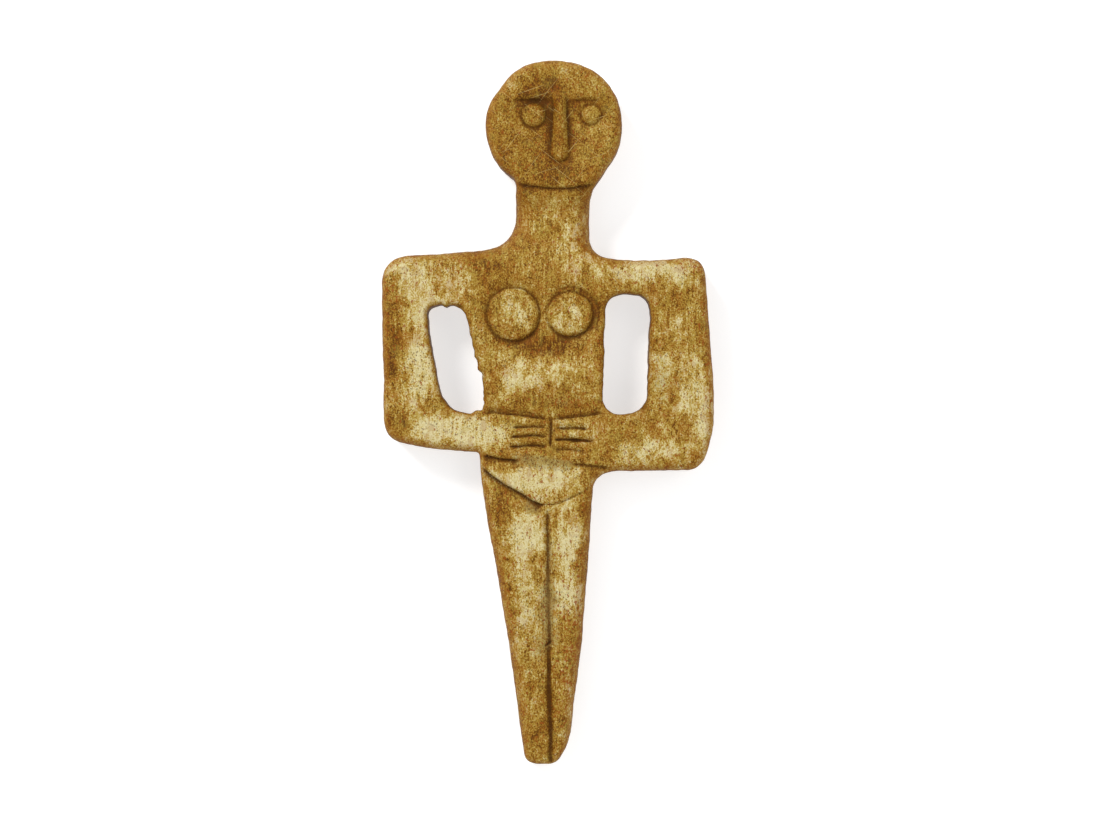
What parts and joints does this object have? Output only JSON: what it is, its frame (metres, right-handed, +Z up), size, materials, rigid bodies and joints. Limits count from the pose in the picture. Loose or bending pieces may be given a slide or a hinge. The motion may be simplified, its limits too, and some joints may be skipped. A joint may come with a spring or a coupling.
{
  "type": "figurine",
  "caption": "Flat carved idol with a round head, a tall neck, bent arms with an opening inside each elbow, and legs joined to a blunt point.",
  "frame": {"origin": "on the flat back, under the middle of the figure's length and width", "axes": "+Y towards the head, +X to the right of someone who looks down at the face, +Z up out of the face; the figure lies on its back"},
  "size_m": [0.0566, 0.12, 0.0094],
  "materials": {
    "bone": null
  },
  "bodies": {
    "root": {"figurine": "bone"}
  },
  "joints": []
}
